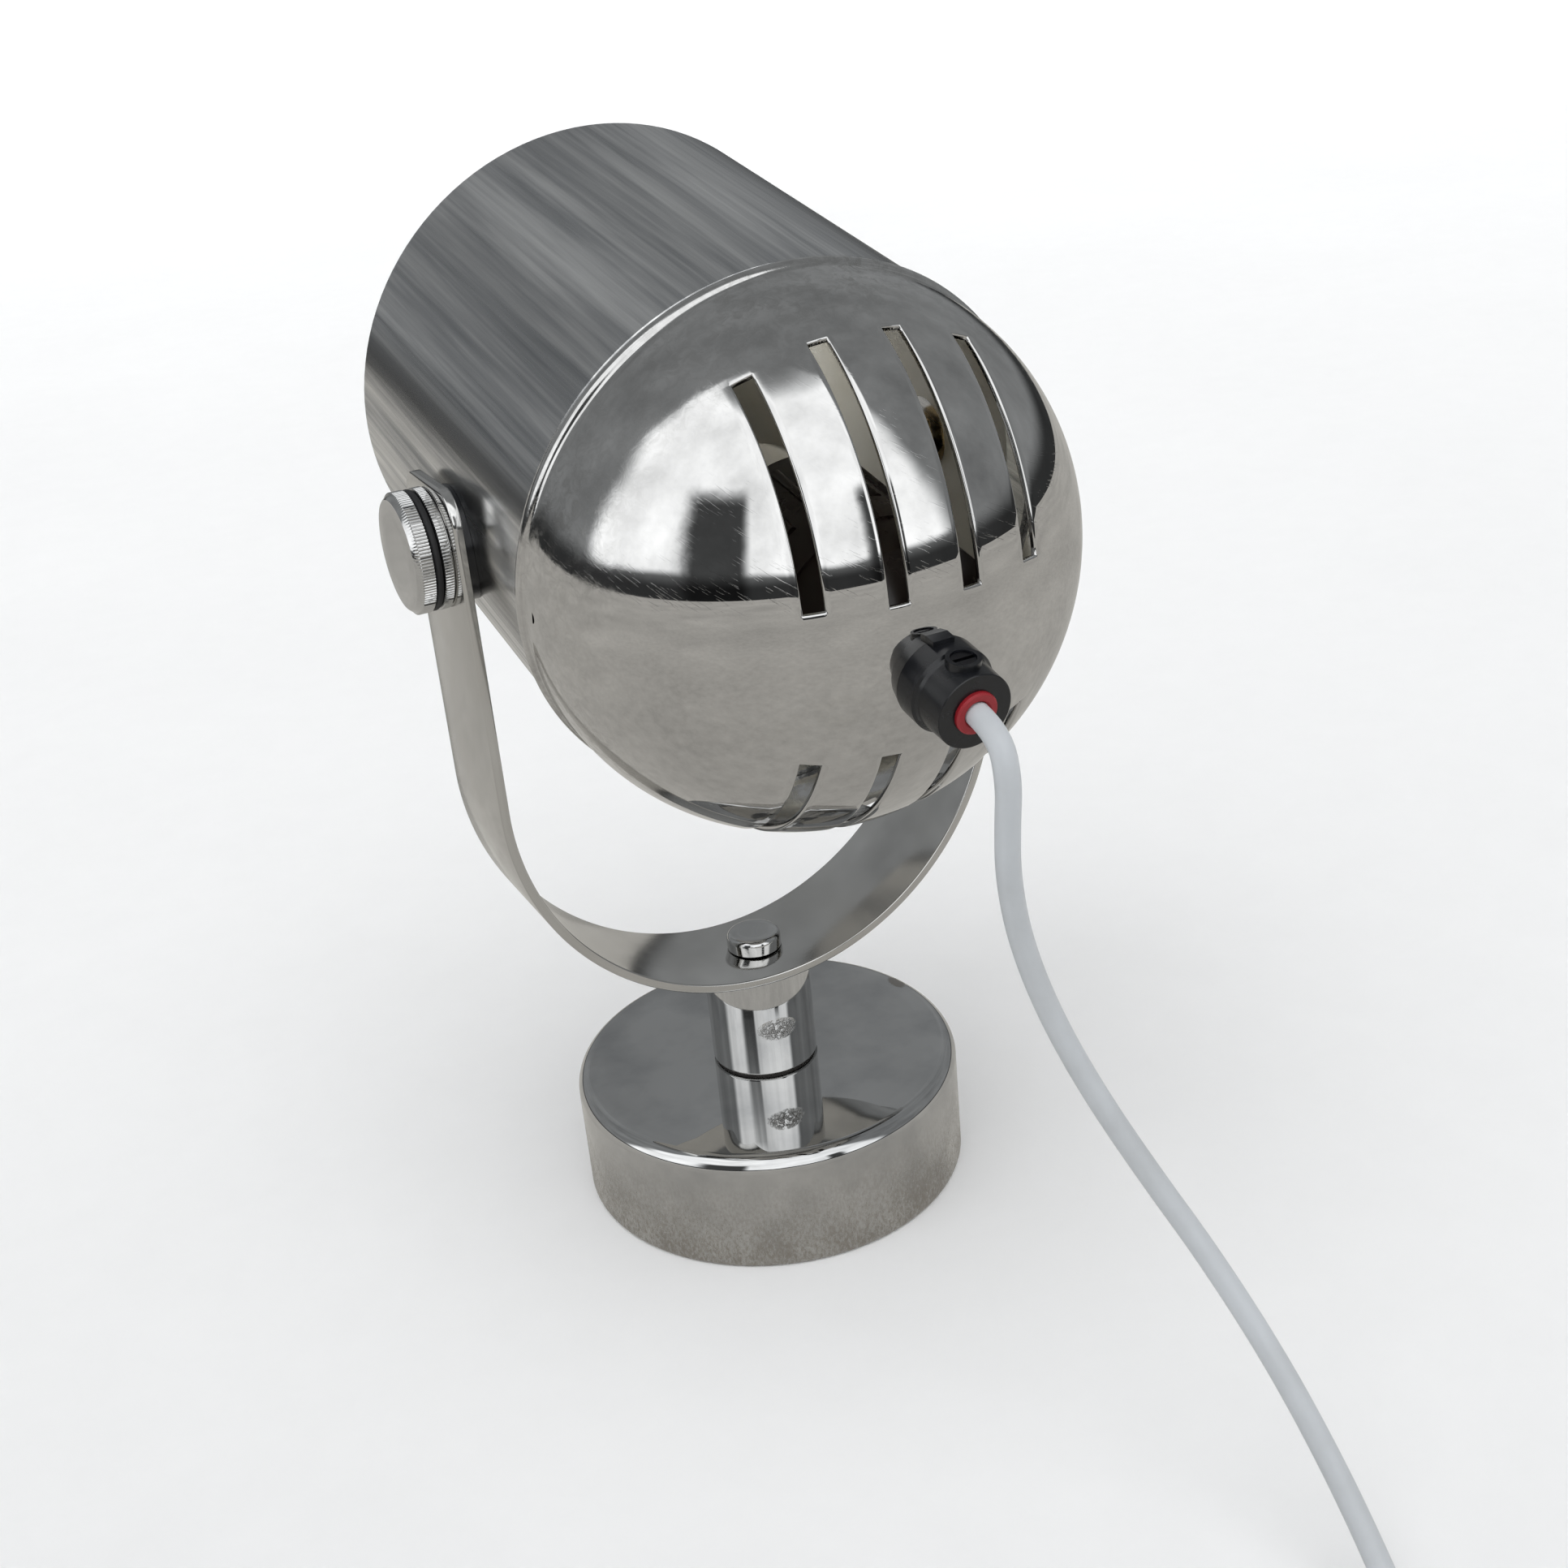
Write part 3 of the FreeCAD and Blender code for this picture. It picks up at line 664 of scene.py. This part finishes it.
def strip_metal(name):
    """Bright nickel strip with rolling grain along its length."""
    g = Graph(name, Metallic=1.0)
    cloud = g.noise(g.coords(), 34.0, 4.0, 0.5)
    grain = g.noise(g.coords((0.06, 1, 0.06)), 1500.0, 3.0, 0.6)
    colour = g.mix(g.ramp(cloud, (0.4, 0.0), (0.7, 0.7)), (0.63, 0.625, 0.61), (0.54, 0.53, 0.505))
    rough = g.math("ADD", g.ramp(cloud, (0.4, 0.07), (0.7, 0.16)), g.math("MULTIPLY", grain, 0.05))
    return g.out(Base_Color=colour, Roughness=rough, Normal=g.bump(grain, 0.000006))


def moulded(name, tint, rough, speck=1400.0, depth=0.00001, coat=0.0):
    """Moulded plastic or rubber with a fine skin and slow gloss changes."""
    g = Graph(name)
    if coat:
        g.shader.inputs["Coat Weight"].default_value = coat
        g.shader.inputs["Coat Roughness"].default_value = 0.12
    slow = g.noise(g.coords(), 70.0, 4.0, 0.55)
    fine = g.noise(g.coords(), speck, 3.0, 0.6)
    colour = g.mix(g.ramp(slow, (0.35, 0.0), (0.7, 0.6)), tint, tuple(c * 0.8 for c in tint))
    gloss = g.ramp(slow, (0.35, rough * 0.85), (0.7, min(1, rough * 1.25)))
    return g.out(Base_Color=colour, Roughness=gloss, Normal=g.bump(fine, depth))


def metal(name, tint, low, high, scale=300.0, depth=0.00001):
    """Plain plated or cast metal with slow stains and a fine grain."""
    g = Graph(name, Metallic=1.0)
    slow = g.noise(g.coords(), 60.0, 5.0, 0.6)
    fine = g.noise(g.coords(), scale, 4.0, 0.6)
    colour = g.mix(g.ramp(slow, (0.4, 0.0), (0.72, 0.8)), tint, tuple(c * 0.7 for c in tint))
    rough = g.ramp(fine, (0.3, low), (0.7, high))
    return g.out(Base_Color=colour, Roughness=rough, Normal=g.bump(fine, depth))


def enamel(name):
    """Baked cream enamel with faint orange peel and a warm tone behind the lamp."""
    g = Graph(name)
    slow = g.noise(g.coords(), 30.0, 4.0, 0.5)
    peel = g.noise(g.coords(), 900.0, 2.0, 0.5)
    colour = g.mix(g.ramp(slow, (0.4, 0.0), (0.75, 1.0)), (0.72, 0.69, 0.60), (0.60, 0.55, 0.43))
    rough = g.ramp(slow, (0.4, 0.28), (0.7, 0.4))
    return g.out(Base_Color=colour, Roughness=rough, Normal=g.bump(peel, 0.00001))


def felt(name):
    """Dark pressed felt."""
    g = Graph(name, Roughness=1.0)
    fibre = g.noise(g.coords((1, 1, 3)), 1800.0, 6.0, 0.8, 1.5)
    colour = g.ramp(fibre, (0.3, (0.008, 0.008, 0.009)), (0.7, (0.035, 0.034, 0.036)))
    return g.out(Base_Color=colour, Normal=g.bump(fibre, 0.0002))


def frosted_lamp(name):
    """Reflector lamp: frosted pale front, silvered body behind the widest ring."""
    g = Graph(name)
    place = g.coords((1, 1, 1), HEAD_TURN)
    back = g.fade(g.head_depth(place), 0.0225, 0.0205)
    slow = g.noise(place, 90.0, 4.0, 0.6)
    silver = g.mix(slow, (0.62, 0.62, 0.62), (0.80, 0.80, 0.79))
    colour = g.mix(back, (0.78, 0.79, 0.79), silver)
    rough = g.math("SUBTRACT", 0.42, g.math("MULTIPLY", back, 0.3))
    frost = g.bump(g.noise(place, 1600.0), 0.00001)
    return g.out(Base_Color=colour, Roughness=rough, Metallic=back, Normal=frost)


def sheath(name):
    """Pale grey PVC lead: satin skin, faint soiling, slight drawn ripple."""
    g = Graph(name, Specular_IOR_Level=0.45)
    soil = g.noise(g.coords(), 22.0, 5.0, 0.62)
    ripple = g.noise(g.coords(), 160.0, 3.0, 0.5)
    skin = g.noise(g.coords(), 1500.0, 3.0, 0.6)
    colour = g.mix(g.ramp(soil, (0.42, 0.0), (0.74, 0.9)), (0.55, 0.575, 0.60), (0.43, 0.445, 0.455))
    height = g.math("ADD", g.math("MULTIPLY", ripple, 0.8), g.math("MULTIPLY", skin, 0.12))
    rough = g.ramp(soil, (0.4, 0.34), (0.7, 0.48))
    return g.out(Base_Color=colour, Roughness=rough, Normal=g.bump(height, 0.00008))


def paint(obj, mat):
    obj.data.materials.clear()
    obj.data.materials.append(mat)


add_camera()
cord = add_cord()

# The coil and plug are put away out of view, so the bright metal doesn't mirror them.
cord.visible_glossy = False
for name in ("plug_body", "plug_sleeve", "plug_pins"):
    nodes[name].visible_glossy = False

# Which CAD nodes wear each material.
looks = {
    "post_plate": ["post"],
    "bright_plate": ["yoke_screw", "knob_left", "knob_right"],
    "tube_plate": ["shade_tube"],
    "dome_plate": ["rear_dome"],
    "base_plate_finish": ["base_shell"],
    "strip": ["yoke"],
    "black_moulding": ["spacers", "grip_body"],
    "black_rubber": ["ring_left", "ring_right"],
    "red_moulding": ["grip_bush"],
    "zinc": ["base_plate", "plate_screws", "spring_washer", "swivel_rod", "swivel_nut", "studs",
             "dome_washer"],
    "dark_screw": ["grip_screw"],
    "brass": ["stud_nuts", "nipple", "nipple_nut", "holder_shell", "holder_contact", "lamp_cap",
              "plug_pins"],
    "iron": ["base_weight"],
    "fibre": ["friction_washer"],
    "felt": ["foot_pad"],
    "cream_enamel": ["shade_liner"],
    "brown_moulding": ["holder_cap", "holder_body"],
    "frosted_lamp": ["lamp_glass"],
    "lead_sheath": ["cable_stub", "inner_leads", "cable_lead", "cable_coil", "cable_tail"],
    "plug_moulding": ["plug_body", "plug_sleeve"],
}
mats = {
    "bright_plate": chrome("bright_plate"),
    "post_plate": chrome_post("post_plate"),
    "tube_plate": chrome_tube("tube_plate"),
    "dome_plate": chrome_dome("dome_plate"),
    "base_plate_finish": chrome_base("base_plate_finish"),
    "strip": strip_metal("strip"),
    "black_moulding": moulded("black_moulding", (0.004, 0.0045, 0.006), 0.25, 900.0, 0.00001, 0.08),
    "black_rubber": moulded("black_rubber", (0.012, 0.012, 0.013), 0.6),
    "red_moulding": moulded("red_moulding", (0.32, 0.012, 0.02), 0.4),
    "zinc": metal("zinc", (0.60, 0.59, 0.57), 0.25, 0.45),
    "dark_screw": metal("dark_screw", (0.05, 0.05, 0.055), 0.3, 0.5),
    "brass": metal("brass", (0.66, 0.47, 0.22), 0.18, 0.4),
    "iron": metal("iron", (0.12, 0.12, 0.12), 0.5, 0.8, 500.0, 0.0001),
    "fibre": moulded("fibre", (0.02, 0.017, 0.015), 0.7),
    "felt": felt("felt"),
    "cream_enamel": enamel("cream_enamel"),
    "brown_moulding": moulded("brown_moulding", (0.018, 0.012, 0.009), 0.3),
    # Near-black inside of the rear cap, dark enough that the hollow reads black through the slots:
    # painted shade.
    "dome_inside_painted_shade": metal("dome_inside_painted_shade", (0.035, 0.033, 0.03), 0.4, 0.6),
    "frosted_lamp": frosted_lamp("frosted_lamp"),
    "lead_sheath": sheath("lead_sheath"),
    "plug_moulding": moulded("plug_moulding", (0.66, 0.67, 0.67), 0.35, 1200.0, 0.00002),
}
for look, names in looks.items():
    for name in names:
        paint(nodes[name], mats[look])
paint(cord, mats["lead_sheath"])


# ---------------------------------------------------------------- pieces that replace plain CAD nodes

def stand_in(obj, body, node, look):
    """Give a detailed mesh its body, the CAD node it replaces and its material."""
    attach(obj, body)
    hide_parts(node)
    paint(obj, mats[look])
    return obj


cap = stand_in(dome(), "head", "rear_dome", "dome_plate")
# The cap's inner faces wear the near-black painted shade.
cap.data.materials.append(mats["dome_inside_painted_shade"])
stand_in(knob("knob_a", 1), "knob_left", "knob_left", "bright_plate")
stand_in(knob("knob_b", -1), "knob_right", "knob_right", "bright_plate")
stand_in(knob_ring("ring_a", 1), "knob_left", "ring_left", "black_rubber")
stand_in(knob_ring("ring_b", -1), "knob_right", "ring_right", "black_rubber")
stand_in(yoke_strip(), "yoke", "yoke", "strip")
stand_in(base_cup(), "base", "base_shell", "base_plate_finish")
stand_in(screw_head(), "yoke", "yoke_screw", "bright_plate")


# ---------------------------------------------------------------- stage

def add_world():
    """A soft studio: a wide bright window on the +Y side with two dark flags, dim elsewhere."""
    world = bpy.data.worlds.new("studio")
    scene.world = world
    world.use_nodes = True
    tree = world.node_tree
    background = tree.nodes["Background"]

    def node(kind, **inputs):
        made = tree.nodes.new("ShaderNode" + kind)
        for key, value in inputs.items():
            numbered = key[0] == "i" and key[1:].isdigit()
            socket = made.inputs[int(key[1:]) if numbered else key.replace("_", " ")]
            if isinstance(value, bpy.types.NodeSocket):
                tree.links.new(value, socket)
            else:
                socket.default_value = value
        return made

    def calc(op, a, b=0.0):
        made = node("Math", i0=a, i1=b)
        made.operation = op
        return made.outputs[0]

    def fade(value, low, high):
        made = node("MapRange", Value=value, From_Min=low, From_Max=high)
        made.interpolation_type = "SMOOTHSTEP"
        return made.outputs[0]

    way = node("TexCoord").outputs["Generated"]
    split = node("SeparateXYZ", Vector=way)
    x, y, z = split.outputs
    soft = node("TexNoise", Vector=way, Scale=2.6, Detail=5.0, Roughness=0.62).outputs["Fac"]
    broad = node("TexNoise", Vector=way, Scale=1.3, Detail=2.0, Roughness=0.5).outputs["Fac"]
    facing = calc("ADD", calc("MULTIPLY", x, 0.57), calc("MULTIPLY", y, 0.82))
    flat = calc("SQRT", calc("ADD", calc("MULTIPLY", x, x), calc("MULTIPLY", y, y)))
    facing = calc("DIVIDE", facing, calc("MAXIMUM", flat, 0.02))
    edge = calc("MULTIPLY", calc("SUBTRACT", broad, 0.5), 0.5)
    side = fade(calc("ADD", facing, edge), 0.25, 0.42)
    roof = fade(calc("ADD", z, calc("MULTIPLY", edge, 0.25)), 0.985, 0.93)
    sill = fade(calc("ADD", z, calc("MULTIPLY", edge, 0.3)), 0.07, 0.12)
    window = calc("MULTIPLY", calc("MULTIPLY", side, roof), sill)
    ripple = calc("MULTIPLY", calc("SUBTRACT", soft, 0.5), 0.06)
    along = calc("ADD", calc("DIVIDE", x, calc("MAXIMUM", flat, 0.02)), ripple)
    tall = calc("ADD", z, ripple)
    flags = ((0.79, 0.13, 0.56), (-0.16, 0.07, 0.50))
    flag = 0.0
    for centre, half, top in flags:
        band = fade(calc("ABSOLUTE", calc("SUBTRACT", along, centre)), half + 0.035, half - 0.035)
        band = calc("MULTIPLY", band, fade(tall, top + 0.06, top - 0.06))
        band = calc("MULTIPLY", band, fade(y, 0.0, 0.1))
        flag = calc("MAXIMUM", flag, band)
    window = calc("MULTIPLY", window, calc("SUBTRACT", 1.0, calc("MULTIPLY", flag, 0.97)))
    bright = calc("ADD", 0.70, calc("MULTIPLY", soft, 1.5))
    dim = calc("ADD", 0.10, calc("MULTIPLY", soft, 0.34))
    low = fade(z, 0.0, 0.12)
    dim = calc("MULTIPLY", dim, calc("ADD", 0.15, calc("MULTIPLY", low, 0.85)))
    dim = calc("MULTIPLY", calc("SUBTRACT", 1.0, window), dim)
    level = calc("ADD", calc("MULTIPLY", window, bright), dim)
    level = calc("MULTIPLY", level, calc("SUBTRACT", 1.0, calc("MULTIPLY", flag, 0.75)))
    tint = node("Mix", i0=window)
    tint.data_type = "RGBA"
    tint.inputs[6].default_value = (0.95, 0.98, 1.0, 1)
    tint.inputs[7].default_value = (0.97, 0.985, 1.0, 1)
    tree.links.new(tint.outputs[2], background.inputs["Color"])
    tree.links.new(level, background.inputs["Strength"])


def add_floor(name, tone, low, camera, height):
    """A pale floor: one that the camera sees, with a cove, or a flat one only metal mirrors, which is
    not lit but glows with its own darker, mottled colour as a painted reflection of the floor.
    """
    flat, cove, wall_top = 2600, 1200, 4000
    profile = [(0, height), (200, height), (flat, height)]
    if camera:
        profile += arc(flat, cove + height, cove, -90, 0, 24) + [(flat + cove, wall_top)]
    floor = lathe(name, profile, None, 96)
    g = Graph(name, Roughness=0.95)
    cloud = g.noise(g.coords(), 3.0, 5.0, 0.6)
    speck = g.noise(g.coords(), 60.0, 6.0, 0.7)
    both = g.math("ADD", g.math("MULTIPLY", cloud, 0.6), g.math("MULTIPLY", speck, 0.4))
    colour = g.ramp(both, (0.35, tuple(c * low for c in tone)), (0.65, tone))
    if camera:
        g.out(Base_Color=colour)
    else:
        # The mirrored floor glows with its own colour instead of being lit: a painted reflection,
        # darker and more mottled than the floor the camera sees.
        g.out(Base_Color=(0.02, 0.02, 0.02, 1), Emission_Color=colour, Emission_Strength=1.0)
    paint(floor, g.mat)
    floor.visible_camera = camera
    floor.visible_diffuse = camera
    floor.visible_glossy = not camera
    floor.visible_shadow = False
    return floor


def add_lights():
    """Two wide soft lights, from above and from one side."""
    suns = (("top", (0.25, 0.5, 1.0), 80, 1.28), ("side", (-1.0, 0.4, 0.7), 50, 0.35))
    for name, way, spread, energy in suns:
        light = bpy.data.lights.new(name, "SUN")
        light.angle = math.radians(spread)
        light.energy = energy
        lamp = bpy.data.objects.new(name, light)
        lamp.rotation_euler = Vector(way).to_track_quat("Z", "Y").to_euler()
        lamp.visible_glossy = False
        scene.collection.objects.link(lamp)


add_world()
add_floor("floor", (0.90, 0.90, 0.90), 0.97, True, 0.0)
# Painted floor reflection: a darker, mottled floor that glows and is seen only in the metal.
add_floor("painted_floor_reflection", (0.54, 0.525, 0.49), 0.62, False, 0.1)
add_lights()
scene.view_settings.view_transform = "Standard"
